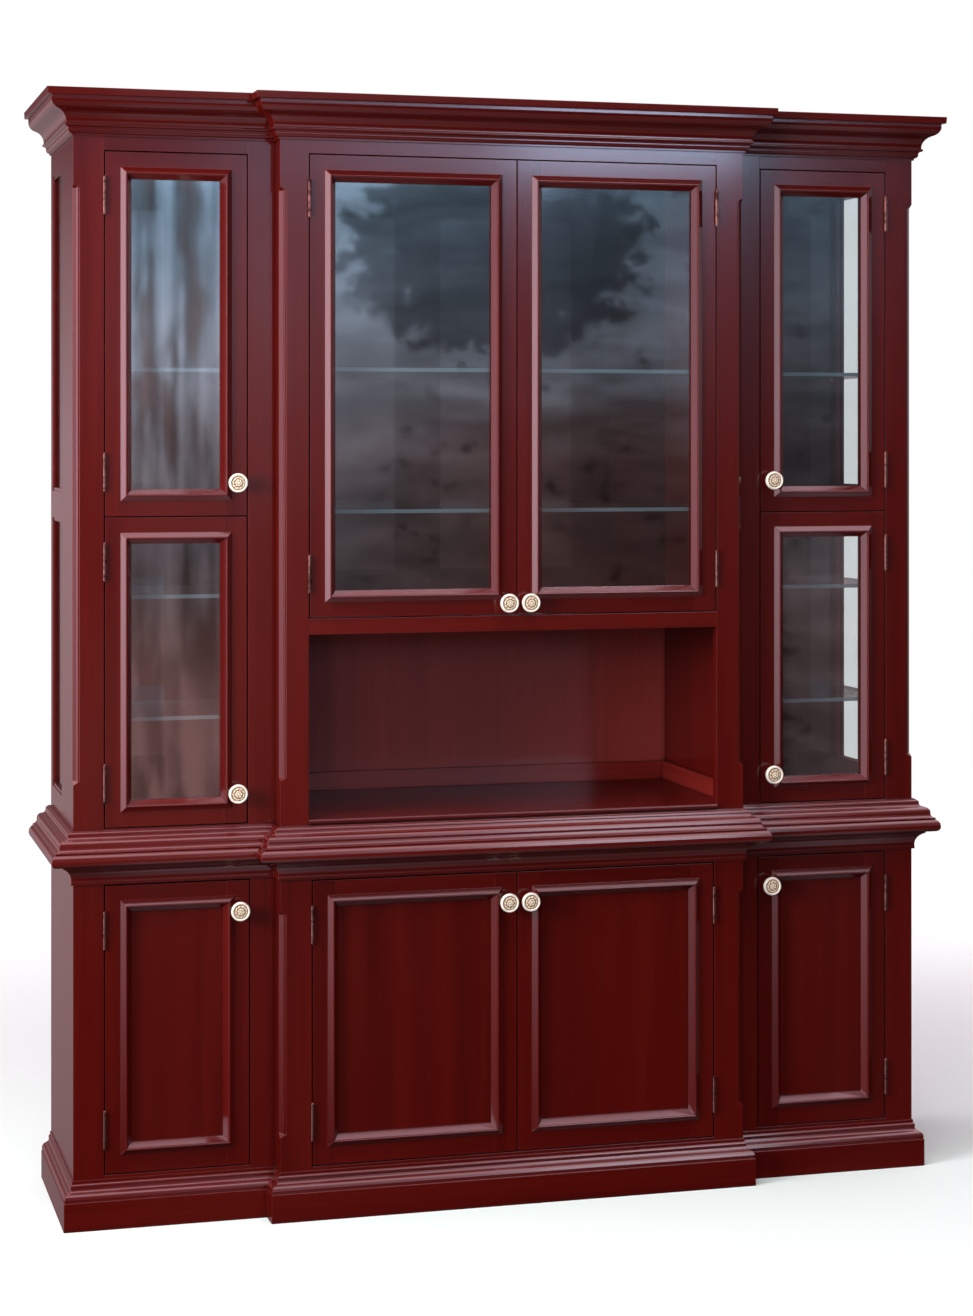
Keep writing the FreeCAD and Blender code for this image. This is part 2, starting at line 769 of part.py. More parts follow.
def counter():
    boards = [
        board("counter_board", (-half, half), (wing_face, rear), (counter_under, counter_top)),
        board("counter_centre", (-centre, centre), (centre_face, wing_face), (counter_under, counter_top))]
    nose = run_round("counter_nose", nose_profile(), size.nose_reach, size.counter_thick, counter_under)
    part("counter_top", boards + nose)


def mouldings():
    plinth = run_round("plinth_board", None, size.plinth_reach, size.plinth_height, 0)
    capping = run_round("plinth_moulding", plinth_moulding_profile(), size.plinth_reach,
                        size.plinth_moulding_height, plinth_top)
    part("plinth", plinth + capping)
    part("counter_cove", run_round("cove", cove_profile(), size.cove_reach, size.cove_height, cove_bottom))
    part("hutch_foot_moulding", run_round("foot", foot_profile(), size.foot_reach, size.foot_height,
                                          counter_top))
    part("cornice", run_round("cornice", cornice_profile(), size.cornice_reach, size.cornice_height,
                              cornice_bottom))


# ---------------------------------------------------------------- hutch carcass

pane_front = wing_inside + size.side_front_stile
pane_rear = rear - size.side_back_stile
low_pane = (sill + size.side_pane_lift, door_line - size.side_mid_drop)
high_pane = (low_pane[1] + size.side_mid_rail, head - size.side_pane_drop)


def hutch_ends():
    members = []
    panes = []
    outer = half - size.side_bead_set
    glass = outer - size.side_bead_depth
    inner = glass - size.pane_thick
    for side in (-1, 1):
        tag = hand(side) + "_end"
        wall = across(side, end_inner, half)
        full = (counter_top, case_head)
        between = (pane_front, pane_rear)
        members += [
            board(tag + "_front_stile", wall, (wing_inside, pane_front), full),
            board(tag + "_back_stile", wall, (pane_rear, rear), full),
            board(tag + "_bottom_rail", wall, between, (counter_top, low_pane[0])),
            board(tag + "_mid_rail", wall, between, (low_pane[1], high_pane[0])),
            board(tag + "_top_rail", wall, between, (high_pane[1], case_head))]
        for label, opening in (("lower", low_pane), ("upper", high_pane)):
            name = tag + "_" + label
            for layer, planes in (("outer", (glass, outer)), ("inner", (end_inner, inner))):
                depth = across(side, *planes)
                members += surround(name + "_" + layer, (between, opening), size.bead_width,
                                    lambda strip, y, z: board(strip + "_bead", depth, y, z))
            clear = size.pane_clear
            panes.append(board(name + "_pane", across(side, inner, glass),
                               (pane_front + clear, pane_rear - clear),
                               (opening[0] + clear, opening[1] - clear)))
    part("hutch_ends", members)
    part("hutch_end_panes", panes)


def hutch_carcass():
    part("hutch_partitions", partitions("hutch_partition", (counter_top, case_head)))
    decks = bay_boards("hutch_deck", (sill - size.board_thick, sill))
    middle = (door_line - size.board_thick / 2, door_line + size.board_thick / 2)
    for side in (-1, 1):
        x = across(side, centre, end_inner)
        y = (wing_inside + size.strike_thick + size.catch_clear, back_face)
        decks.append(board("wing_shelf_" + hand(side), x, y, middle))
    decks.append(board("centre_deck", (-partition_inner, partition_inner), (centre_inside, back_face),
                       (centre_sill - size.board_thick, centre_sill)))
    decks.append(board("top_board", (-half, half), (wing_inside, rear), (case_head, case_top)))
    decks.append(board("top_board_centre", (-centre, centre), (centre_inside, wing_inside),
                       (case_head, case_top)))
    part("hutch_decks", decks)
    panels = back_boards("base_back", (base_sill - size.board_thick, counter_under))
    panels += back_boards("hutch_back", (counter_top, case_head))
    part("back_panels", panels)


def mirrors():
    y = (mirror_face, back_face)
    wing_levels = [(sill, door_line - size.board_thick / 2), (door_line + size.board_thick / 2, case_head)]
    panels = [board("centre_mirror", (-partition_inner, partition_inner), y, (centre_sill, case_head))]
    for side in (-1, 1):
        for index, z in enumerate(wing_levels):
            name = hand(side) + "_mirror_" + str(index)
            panels.append(board(name, across(side, centre, end_inner), y, z))
    part("mirror_backs", panels)


def niche():
    floor_top = sill + size.niche_floor_thick
    thick = (sill, floor_top)
    seam = size.niche_seam / 2
    y = (centre_inside, back_face)
    lip_deep = size.frame_thick + size.niche_lip
    nose = size.niche_lip_round
    lip_sketch = profile("niche_lip_profile", [
        (0, 0), (lip_deep - nose, 0), (lip_deep, nose, quarter),
        (lip_deep, size.niche_floor_thick - nose), (lip_deep - nose, size.niche_floor_thick, quarter),
        (0, size.niche_floor_thick)])
    lip = extruded("niche_lip", lip_sketch, hutch_centre_edge * 2)
    place(lip, hutch_centre_edge, centre_inside, sill, FreeCAD.Rotation(about_z, 180))
    standing = (floor_top, floor_top + size.upstand_height)
    behind = back_face - size.upstand_thick
    pieces = [
        lip, board("niche_floor_left", (-partition_inner, -seam), y, thick),
        board("niche_floor_right", (seam, partition_inner), y, thick),
        board("upstand_back", (-partition_inner, partition_inner), (behind, back_face), standing)]
    for side in (-1, 1):
        x = across(side, partition_inner - size.upstand_thick, partition_inner)
        pieces.append(board("upstand_" + hand(side), x, (centre_inside, behind), standing))
    part("niche_lining", pieces)


def glass_shelves():
    wing_levels = [sill + size.lower_shelf_rise, sill + size.middle_shelf_rise,
                   door_line + size.upper_shelf_rise]
    centre_levels = [centre_sill + size.centre_shelf_rise, centre_sill + size.centre_top_shelf_rise]
    bays = [(-end_inner, -centre, wing_inside, wing_levels),
            (-partition_inner, partition_inner, centre_inside, centre_levels),
            (centre, end_inner, wing_inside, wing_levels)]
    shelves = []
    pegs = []
    back = mirror_face - size.shelf_back_clear
    for bay, (left, right, face, levels) in enumerate(bays):
        front = face + size.shelf_setback
        x = (left + size.shelf_side_clear, right - size.shelf_side_clear)
        for row, level in enumerate(levels):
            tag = str(bay) + "_" + str(row)
            under = level - size.shelf_thick
            shelves.append(board("shelf_" + tag, x, (front, back), (under, level)))
            rows = (("front", front + size.peg_front_inset), ("back", back - size.peg_back_inset))
            for end, y in rows:
                for wall, angle in ((left, 90), (right, -90)):
                    peg = "peg_" + tag + "_" + end + ("_left" if angle > 0 else "_right")
                    turn = FreeCAD.Rotation(about_y, angle)
                    z = under - size.peg_radius
                    pegs.append(rod(peg, size.peg_radius, size.peg_reach, wall, y, z, turn))
    part("glass_shelves", shelves)
    part("shelf_pegs", pegs)


# ---------------------------------------------------------------- doors

def door(name, x, z, face, hinge, knob_z, catch_z, bottom_member=size.member_width, glazed=True):
    """x and z are the door's own edges. It hangs at the left where hinge is -1, at the right where 1.
    Its catch stands on the deck at catch_z."""
    left, right = x
    bottom, top = z
    y = (face, face + size.frame_thick)
    back = y[1]
    inner = (left + size.member_width, right - size.member_width)
    opening = (bottom + bottom_member, top - size.member_width)
    knob_x = left + size.knob_inset if hinge > 0 else right - size.knob_inset
    outward = FreeCAD.Rotation(about_z, 180)

    stiles = [board(name + "_left_stile", (left, inner[0]), y, z),
              board(name + "_right_stile", (inner[1], right), y, z)]
    drill = rod(name + "_drill", size.bolt_radius + size.bolt_clear, size.frame_thick, knob_x, back, knob_z,
                upright)
    free = 0 if hinge > 0 else 1
    stiles[free] = joined("Part::Cut", name + "_drilled_stile", stiles[free], drill)
    members = stiles + [
        board(name + "_bottom_rail", inner, y, (bottom, opening[0])),
        board(name + "_top_rail", inner, y, (opening[1], top))]

    lip = size.bolection_lip
    reach = size.bolection_lap + lip
    rise = size.pane_depth + size.bolection_rise
    sight = ((inner[0] + lip, inner[1] - lip), (opening[0] + lip, opening[1] - lip))
    width = sight[0][1] - sight[0][0]
    height = sight[1][1] - sight[1][0]
    (sight_left, sight_right), (sight_low, sight_high) = sight
    corners = [
        ("top", sight_left, sight_high, width, 0), ("right", sight_right, sight_high, height, -90),
        ("bottom", sight_right, sight_low, width, 180), ("left", sight_left, sight_low, height, 90)]
    pane_face = face + size.pane_depth
    for label, corner_x, corner_z, span, angle in corners:
        turn = upright * FreeCAD.Rotation(about_z, angle)
        members.append(mitred(name + "_" + label + "_bolection", bolection, span, reach, rise, (1, 1),
                              corner_x, pane_face, corner_z, turn))

    thick = size.pane_thick if glazed else size.panel_thick
    clear = size.pane_clear
    pane_back = pane_face + thick
    members += surround(name + "_back", (inner, opening), size.bead_width,
                        lambda strip, wide, tall: board(strip + "_bead", wide, (pane_back, back), tall))
    part(name + "_frame", members)
    part(name + ("_glass" if glazed else "_panel"), [
        board(name + "_sheet", (inner[0] + clear, inner[1] - clear), (pane_face, pane_back),
              (opening[0] + clear, opening[1] - clear))])
    part(name + "_knob", [copy_at(name + "_knob_set", [knob], knob_x, face, knob_z, outward)])

    strike = size.strike_thick
    catch_middle = left + size.catch_inset if hinge > 0 else right - size.catch_inset
    catch_x = (catch_middle - size.catch_width / 2, catch_middle + size.catch_width / 2)
    stop = back + strike + size.catch_clear
    catches.append(board(name + "_catch", catch_x, (stop, stop + size.catch_depth),
                         (catch_z, catch_z + size.catch_height)))
    fittings = [
        copy_at(name + "_bolt", [bolt], knob_x, back + size.bolt_head, knob_z, outward),
        board(name + "_strike", catch_x, (back, back + strike),
              (bottom + size.strike_inset, catch_z + size.catch_height))]
    axis_x = right + size.door_gap / 2 if hinge > 0 else left - size.door_gap / 2
    flip = FreeCAD.Rotation(about_y, 180) if hinge > 0 else no_turn
    reach_in = size.hinge_inset + size.hinge_length / 2
    for label, middle in (("low", bottom + reach_in), ("high", top - reach_in)):
        spot = (axis_x, face - face_offset, middle, flip)
        fittings.append(copy_at(name + "_" + label + "_leaf", [door_leaf], *spot))
        case_hinges.append(copy_at(name + "_" + label + "_hinge", [case_leaf, pin], *spot))
    part(name + "_fittings", fittings)


def doors():
    gap = size.door_gap
    meeting = gap / 2
    lower = (sill + gap, door_line - meeting)
    upper = (door_line + meeting, head - gap)
    centre_z = (centre_sill + gap, head - gap)
    base_z = (base_sill + gap, base_head - gap)
    base_knob = base_z[1] - size.base_knob_drop
    wing_deck = door_line + size.board_thick / 2
    for side in (-1, 1):
        label = hand(side)
        x = across(side, hutch_wing_inner + gap, wing_outer - gap)
        knob_z = upper[0] + size.upper_knob_rise
        door("hutch_" + label + "_upper", x, upper, wing_face, side, knob_z, wing_deck)
        knob_z = lower[0] + size.lower_knob_rise
        door("hutch_" + label + "_lower", x, lower, wing_face, side, knob_z, sill)
        x = across(side, meeting, hutch_centre_edge - gap)
        knob_z = centre_z[0] + size.centre_knob_rise
        door("hutch_centre_" + label, x, centre_z, centre_face, side, knob_z, centre_sill)
        x = across(side, base_wing_inner + gap, wing_outer - gap)
        door("base_" + label, x, base_z, wing_face, side, base_knob, base_sill,
             size.base_bottom_member, False)
        x = across(side, meeting, base_centre_edge - gap)
        door("base_centre_" + label, x, base_z, centre_face, side, base_knob, base_sill,
             size.base_bottom_member, False)


base_carcass()
base_face_frame()
base_shelves()
counter()
mouldings()
hutch_face_frame()
hutch_ends()
hutch_carcass()
mirrors()
niche()
glass_shelves()
doors()
part("case_hinges", case_hinges)
part("door_catches", catches)

# ---------------------------------------------------------------- check and write

document.recompute()
faults = [item.Name for item in document.Objects if {"Invalid", "Error"} & set(item.State)]
faults += [name for name, item in parts.items() if item.Shape.isNull() or not item.Shape.isValid()]
if faults:
    raise RuntimeError("These objects failed: " + ", ".join(sorted(set(faults))))

os.makedirs("parts", exist_ok=True)
for name, item in parts.items():
    item.Shape.exportStep(os.path.join("parts", name + ".step"))
print(len(parts), "sub-parts written")
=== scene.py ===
import json
import math

import bmesh
import bpy
import numpy as np
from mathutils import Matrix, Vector


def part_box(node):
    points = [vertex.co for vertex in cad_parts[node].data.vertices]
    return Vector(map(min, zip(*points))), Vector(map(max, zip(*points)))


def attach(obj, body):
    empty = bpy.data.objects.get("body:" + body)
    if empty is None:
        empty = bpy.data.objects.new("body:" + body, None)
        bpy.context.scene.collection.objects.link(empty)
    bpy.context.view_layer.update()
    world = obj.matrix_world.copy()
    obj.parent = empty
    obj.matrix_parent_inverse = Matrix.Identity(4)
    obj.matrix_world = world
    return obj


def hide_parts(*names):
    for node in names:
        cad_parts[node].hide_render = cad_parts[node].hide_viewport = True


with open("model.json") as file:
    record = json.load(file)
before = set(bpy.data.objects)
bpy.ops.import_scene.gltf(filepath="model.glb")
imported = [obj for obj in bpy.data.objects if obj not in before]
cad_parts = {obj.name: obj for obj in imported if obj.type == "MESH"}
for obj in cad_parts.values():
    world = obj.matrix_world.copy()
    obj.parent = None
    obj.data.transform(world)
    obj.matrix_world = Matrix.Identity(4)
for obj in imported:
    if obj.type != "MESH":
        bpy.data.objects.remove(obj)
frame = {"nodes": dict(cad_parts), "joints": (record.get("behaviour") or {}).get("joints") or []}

print("frame loaded:", len(frame["nodes"]), "nodes")
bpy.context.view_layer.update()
scene = bpy.context.scene
mm = 0.001

# ---- sockets

class Wire:
    # a socket that can stand in a sum
    def __init__(self, tree, socket=None):
        self.tree = tree
        self.socket = socket

    def node(self, kind, settings=None, inputs=None, out=0):
        made = self.tree.nodes.new(kind)
        for key, value in (settings or {}).items():
            if key == "stops":
                ramp = made.color_ramp
                while len(ramp.elements) < len(value):
                    ramp.elements.new(1.0)
                for stop, (place, colour) in zip(ramp.elements, value):
                    stop.position = place
                    stop.color = (*colour, 1.0)
            else:
                setattr(made, key, value)
        for key, value in (inputs or {}).items():
            if isinstance(value, Wire):
                self.tree.links.new(value.socket, made.inputs[key])
            else:
                made.inputs[key].default_value = value
        return Wire(self.tree, made.outputs[out] if len(made.outputs) else None)

    def maths(self, operation, *values, clamp=False):
        settings = {"operation": operation, "use_clamp": clamp}
        return self.node("ShaderNodeMath", settings, dict(enumerate(values)))

    def __add__(self, other):
        return self.maths("ADD", self, other)

    def __radd__(self, other):
        return self.maths("ADD", other, self)

    def __sub__(self, other):
        return self.maths("SUBTRACT", self, other)

    def __rsub__(self, other):
        return self.maths("SUBTRACT", other, self)

    def __mul__(self, other):
        return self.maths("MULTIPLY", self, other)

    def __rmul__(self, other):
        return self.maths("MULTIPLY", other, self)

    def __pow__(self, other):
        return self.maths("POWER", self, other)

    def __rpow__(self, other):
        return self.maths("POWER", other, self)

    def step(self, low, high):
        # 0 below low, 1 above high, smooth between; falls where high is under low
        if high < low:
            return 1 - self.step(high, low)
        settings = {"interpolation_type": "SMOOTHSTEP"}
        return self.node("ShaderNodeMapRange", settings, {"Value": self, "From Min": low, "From Max": high})

    def stretched(self, factors):
        return self.node("ShaderNodeVectorMath", {"operation": "MULTIPLY"}, {0: self, 1: factors})

    def noise(self, scale, detail=2.0, rough=0.5, distortion=0.0):
        return self.node("ShaderNodeTexNoise", None, {
            "Vector": self, "Scale": scale, "Detail": detail, "Roughness": rough, "Distortion": distortion})

    def pattern(self, factors, *values):
        # noise drawn out by three factors
        return self.stretched(factors).noise(1.0, *values)


def mixed(mask, first, second, blend="MIX"):
    wires = [value for value in (mask, first, second) if isinstance(value, Wire)]
    settings = {"data_type": "RGBA", "blend_type": blend, "clamp_factor": True}
    colours = [value if isinstance(value, Wire) else (*value, 1.0) for value in (first, second)]
    return wires[0].node("ShaderNodeMix", settings, {0: mask, 6: colours[0], 7: colours[1]}, out=2)


def newMaterial(name):
    material = bpy.data.materials.new(name)
    material.use_nodes = True
    material.node_tree.nodes.clear()
    return material, Wire(material.node_tree)


def principled(start, values):
    values = {key: (*value, 1.0) if isinstance(value, tuple) else value for key, value in values.items()}
    return start.node("ShaderNodeBsdfPrincipled", None, values)


def blended(start, share, first, second):
    return start.node("ShaderNodeMixShader", None, {0: share, 1: first, 2: second})


def clearing(start, tint=(1.0, 1.0, 1.0)):
    return start.node("ShaderNodeBsdfTransparent", None, {"Color": (*tint, 1.0)})


def finished(start, shader):
    start.node("ShaderNodeOutputMaterial", None, {"Surface": shader})


def ownPlace(start):
    return start.node("ShaderNodeTexCoord", None, None, out="Object")


def trueNormal(start):
    return start.node("ShaderNodeNewGeometry", None, None, out="Normal")


def roundedEdges(start, radius):
    return start.node("ShaderNodeBevel", {"samples": 4}, {"Radius": radius})


# ---- lacquered wood

lacquer = {
    "dark": (0.034, 0.0014, 0.0010),
    "middle": (0.057, 0.0026, 0.0017),
    "light": (0.082, 0.0045, 0.0027),
    "levels": (0.12, 0.5, 0.9),       # of the figure, where these three colours stand
    "contrast": 1.5,
    "figure": 0.55,                   # broad bands against fine grain
    "streakShare": 0.75,              # streaks against clouds in the fine grain
    "arris": 1.6 * mm,                # rounding of the edges
    "crevice": 14.0 * mm,             # reach of the painted shade in corners and gaps
    "creviceTone": 0.06,
    "creviceAt": (0.15, 0.7),         # openness where the painted shade is darkest, and where it ends
    "dullAt": (0.7, 0.2),             # openness where the shine starts to go, and where it is gone
    "dullness": 0.5,
    "rubbed": (0.20, 0.020, 0.017),   # lighter colour along the edges: partly worn polish, partly a painted highlight
    "rubbedAt": (0.995, 0.93),        # turn of the edge, as a cosine
    "rub": 0.4,
    "rubEven": 0.6,                   # all along the edges, and as much again in the streaks
    "poreAt": (0.3, 0.42),
    "poreTone": 0.16,
    "roughness": 0.13,
    "cloudRoughness": 0.1,
    "streakRoughness": 0.06,
    "skin": 0.05,                     # strength of the unevenness
    "skinDepth": 0.6 * mm,
    "skinParts": (0.5, 0.2, 0.6),     # of streaks, pores and ripple
    "coat": 0.35,
    "coatRoughness": 0.05,
    "specular": 0.40,
}
grainCut = {
    # along the grain and twice across it, then detail, roughness and distortion
    "bands": ((0.7, 17.0, 17.0), 2.0, 0.5, 0.35),
    "streaks": ((3.2, 120.0, 120.0), 4.0, 0.6, 0.2),
    "pores": ((34.0, 1500.0, 1500.0), 1.0, 0.5),
    "clouds": ((1.5, 3.5, 3.5), 1.0, 0.5),
    "ripple": 55.0,
}


def woodMaterial(name, look):
    material, start = newMaterial(name)
    grain = start.node("ShaderNodeAttribute", {"attribute_name": "grain"}, out="Vector")
    tone = start.node("ShaderNodeAttribute", {"attribute_name": "tone"}, out="Fac")
    bands = grain.pattern(*grainCut["bands"])
    streaks = grain.pattern(*grainCut["streaks"])
    pores = grain.pattern(*grainCut["pores"])
    clouds = grain.pattern(*grainCut["clouds"])
    share, fine = look["figure"], look["streakShare"]
    figure = bands * share + streaks * (1 - share) * fine + clouds * (1 - share) * (1 - fine)
    level = (figure - 0.5) * look["contrast"] + 0.5 + tone
    stops = list(zip(look["levels"], (look["dark"], look["middle"], look["light"])))
    colour = level.node("ShaderNodeValToRGB", {"stops": stops}, {"Fac": level})
    solid = pores.step(*look["poreAt"])             # 0 in a pore
    colour = mixed(look["poreTone"] * (1 - solid), colour, look["dark"])
    edge = roundedEdges(start, look["arris"])
    turned = start.node("ShaderNodeVectorMath", {"operation": "DOT_PRODUCT"},
                        {0: edge, 1: trueNormal(start)}, out="Value")
    # lighter edges, partly wear and partly a painted highlight on every arris
    rub = turned.step(*look["rubbedAt"]) * (look["rubEven"] + streaks * look["rubEven"]) * look["rub"]
    colour = mixed(rub, colour, look["rubbed"])
    # painted shade: corners and gaps darkened by their ambient occlusion
    openness = start.node("ShaderNodeAmbientOcclusion", {"samples": 6},
                          {"Distance": look["crevice"]}, out="AO")
    shadedCrevice = mixed(1.0, colour, (look["creviceTone"],) * 3, "MULTIPLY")
    colour = mixed(openness.step(*look["creviceAt"]), shadedCrevice, colour)
    dull = openness.step(*look["dullAt"])           # no shine down in a gap
    roughness = look["roughness"] + (clouds - 0.5) * look["cloudRoughness"]
    roughness = roughness + (streaks - 0.5) * look["streakRoughness"] + dull * look["dullness"]
    ripple = grain.noise(grainCut["ripple"], 1.0)
    parts = zip((streaks, solid, ripple), look["skinParts"])
    skin = sum(wire * part for wire, part in parts)
    normal = start.node("ShaderNodeBump", None, {
        "Strength": look["skin"], "Distance": look["skinDepth"], "Height": skin, "Normal": edge})
    finished(start, principled(start, {
        "Base Color": colour, "Roughness": roughness, "Normal": normal,
        "Specular IOR Level": look["specular"], "Coat Weight": (1 - dull) * look["coat"],
        "Coat Roughness": look["coatRoughness"]}))
    return material


caseWood = woodMaterial("lacqueredMahogany", lacquer)
panelWood = woodMaterial("lacqueredPanel", {**lacquer, "figure": 0.7, "contrast": 1.3})
backWood = woodMaterial("stainedBacks", {
    **lacquer, "dark": (0.11, 0.014, 0.012), "middle": (0.17, 0.024, 0.021), "light": (0.22, 0.034, 0.030),
    "coat": 0.1, "roughness": 0.38})
liningWood = woodMaterial("satinLining", {
    **lacquer, "light": (0.15, 0.013, 0.010), "coat": 0.08, "roughness": 0.3, "specular": 0.4})
insideWood = woodMaterial("satinInside", {**lacquer, "coat": 0.0, "roughness": 0.5, "skin": 0.12})

# ---- glass, mirror, brass

pane = {
    "facing": 0.15,          # share mirrored by one face seen square on
    "tint": (0.985, 0.99, 0.99),
    "roughness": 0.02,
    "smear": ((5.0, 5.0, 1.6), 3.0, 0.55),
    "smearAt": (0.45, 0.8),
    "smearRoughness": 0.03,
}
endPane = {**pane, "facing": 0.02, "tint": (0.95, 0.985, 0.99)}
shelf = {
    "facing": 0.045,
    "roughness": 0.03,
    "tint": (0.985, 0.99, 0.99),
    "edge": (0.09, 0.16, 0.185),
    "edgeRoughness": 0.12,
    "edgePolish": (30.0, 0.1),        # size and depth of its unevenness
    "edgeSpecular": 0.6,
    "solid": 0.8,                     # how much of the edge hides what is behind
    "levelAt": (0.4, 0.6),            # upright share of a normal, edge to face
}
silver = {
    "clean": (0.12, 0.118, 0.122),
    "aged": (0.08, 0.078, 0.08),
    "roughness": 0.045,
    "veil": ((2.2, 2.2, 1.3), 3.0, 0.6, 0.6),
    "veilAt": (0.35, 0.7),
    "hazeAt": (0.4, 0.8),
    "haze": 0.06,
    "specks": (160.0, 2.0, 0.7),
    "speckAt": (0.62, 0.74),
    "speckTone": 0.25,
    "speckRoughness": 0.1,
}
brassLook = {
    "bright": (0.34, 0.17, 0.14),
    "dull": (0.06, 0.022, 0.018),
    "roughness": 0.28,
    "tarnish": (90.0, 4.0, 0.6),
    "tarnishAt": (0.42, 0.7),
    "tarnishRoughness": 0.2,
    "brushed": ((900.0, 900.0, 60.0), 2.0),
    "brushRoughness": 0.1,
    "brushRelief": 0.15,
    "brushDepth": 0.1 * mm,
    "arris": 0.25 * mm,
}


def mirroredShare(start, facing):
    turned = start.node("ShaderNodeLayerWeight", None, {"Blend": 0.5}, out="Facing")
    return turned ** 5.0 * (1 - facing) + facing


def mirroring(start, roughness):
    return principled(start, {"Base Color": (1.0, 1.0, 1.0), "Metallic": 1.0, "Roughness": roughness})


def paneMaterial(name, look):
    material, start = newMaterial(name)
    smear = ownPlace(start).pattern(*look["smear"])
    roughness = look["roughness"] + smear.step(*look["smearAt"]) * look["smearRoughness"]
    face = mirroring(start, roughness)
    finished(start, blended(start, mirroredShare(start, look["facing"]), clearing(start, look["tint"]), face))
    return material


def shelfMaterial(name, look):
    material, start = newMaterial(name)
    normal = trueNormal(start)
    upright = normal.node("ShaderNodeSeparateXYZ", None, {0: normal}, out="Z")
    level = start.maths("ABSOLUTE", upright).step(*look["levelAt"])
    size, depth = look["edgePolish"]
    polish = ownPlace(start).noise(size, 2.0) * depth
    face = mirroring(start, look["roughness"])
    rim = principled(start, {"Base Color": look["edge"], "Roughness": look["edgeRoughness"] + polish,
                             "Specular IOR Level": look["edgeSpecular"]})
    clear = clearing(start, look["tint"])
    sheet = blended(start, mirroredShare(start, look["facing"]), clear, face)
    edge = blended(start, look["solid"], clear, rim)
    finished(start, blended(start, level, edge, sheet))
    return material


def mirrorMaterial(name, look):
    material, start = newMaterial(name)
    place = ownPlace(start)
    veil = place.pattern(*look["veil"])
    specks = place.noise(*look["specks"]).step(*look["speckAt"])
    colour = mixed(veil.step(*look["veilAt"]), look["clean"], look["aged"])
    colour = mixed(specks * look["speckTone"], colour, look["aged"])
    roughness = look["roughness"] + veil.step(*look["hazeAt"]) * look["haze"]
    roughness = roughness + specks * look["speckRoughness"]
    finished(start, principled(start, {"Base Color": colour, "Metallic": 1.0, "Roughness": roughness}))
    return material


def brassMaterial(name, look):
    material, start = newMaterial(name)
    place = ownPlace(start)
    tarnish = place.noise(*look["tarnish"]).step(*look["tarnishAt"])
    brushed = place.pattern(*look["brushed"])
    colour = mixed(tarnish, look["bright"], look["dull"])
    roughness = look["roughness"] + tarnish * look["tarnishRoughness"]
    roughness = roughness + (brushed - 0.5) * look["brushRoughness"]
    normal = start.node("ShaderNodeBump", None, {
        "Strength": look["brushRelief"], "Distance": look["brushDepth"], "Height": brushed,
        "Normal": roundedEdges(start, look["arris"])})
    finished(start, principled(start, {
        "Base Color": colour, "Metallic": 1.0, "Roughness": roughness, "Normal": normal}))
    return material


doorGlass = paneMaterial("clearDoorGlass", pane)
endGlass = paneMaterial("clearEndGlass", endPane)
plateShelf = shelfMaterial("plateGlassShelf", shelf)
smokedMirror = mirrorMaterial("smokedMirror", silver)
agedBrass = brassMaterial("agedBrass", brassLook)

# ---- glazed knobs, in millimetres

glaze = {
    "field": (0.74, 0.67, 0.52),
    "rim": (0.78, 0.74, 0.64),
    "pooled": (0.20, 0.105, 0.036),
    "pit": (0.02, 0.008, 0.004),
    "fieldAt": (0.0, 0.25),           # hollow where the rim's colour ends
    "pooledAt": (0.5, 0.95),
    "pitAt": (0.2, 0.8),
    "cloud": (260.0, 3.0, 0.6),
    "cloudDepth": 0.4,
    "crackle": 420.0,
    "crackleWidth": 0.05,
    "crackleAt": (0.0, 0.2),
    "crackleDepth": 0.22,
    "roughness": 0.2,
    "pooledRoughness": 0.15,
    "coat": 0.5,
    "coatRoughness": 0.05,
}


def glazeMaterial(name, look):
    material, start = newMaterial(name)
    hollow = start.node("ShaderNodeAttribute", {"attribute_name": "hollow"}, out="Fac")
    pit = start.node("ShaderNodeAttribute", {"attribute_name": "pit"}, out="Fac")
    place = ownPlace(start)
    cloud = place.noise(*look["cloud"])
    cells = place.node("ShaderNodeTexVoronoi", {"feature": "DISTANCE_TO_EDGE"},
                       {"Vector": place, "Scale": look["crackle"]})
    crackle = cells.step(look["crackleWidth"], 0.0) * look["crackleDepth"]
    clouded = (cloud - 0.5) * look["cloudDepth"]
    pooled = start.maths("ADD", hollow.step(*look["pooledAt"]), clouded, clamp=True)
    colour = mixed(hollow.step(*look["fieldAt"]), look["rim"], look["field"])
    colour = mixed(pooled, colour, look["pooled"])
    colour = mixed(crackle * hollow.step(*look["crackleAt"]), colour, look["pooled"])
    # painted shade: the pierced holes coloured near black
    colour = mixed(pit.step(*look["pitAt"]), colour, look["pit"])
    roughness = look["roughness"] + pooled * look["pooledRoughness"]
    finished(start, principled(start, {
        "Base Color": colour, "Roughness": roughness,
        "Coat Weight": look["coat"], "Coat Roughness": look["coatRoughness"]}))
    return material


knob = {
    # from the door outward: radius and reach
    "side": [(6.0, 0.0), (8.0, 0.0), (8.15, 1.5), (7.9, 3.0), (7.1, 4.2), (6.55, 6.0), (6.5, 9.0),
             (6.6, 12.5), (7.6, 14.6), (10.0, 16.4), (13.2, 17.4), (16.0, 18.0), (18.0, 19.2),
             (19.4, 21.4), (20.0, 24.5), (19.75, 27.0), (19.1, 29.0), (18.1, 30.3), (17.0, 30.8),
             (16.0, 30.55), (15.2, 29.8), (14.7, 28.9)],
    "reach": 32.0,
    "field": 14.5,           # radius inside the rim
    "fieldFloor": 28.3,
    "dome": 2.3,
    "relief": 1.3,
    "pierced": 1.1,          # depth of the holes
    "rings": 46,
    "around": 132,
    "stem": 17.0,            # reach where the stem's shade ends
    "stemShade": 0.3,
    "tipShade": 0.3,
    "petalShade": 0.22,      # the least shade on the relief
    "turn": (0.9, 2.3),      # of the first knob, and on from each to the next
}
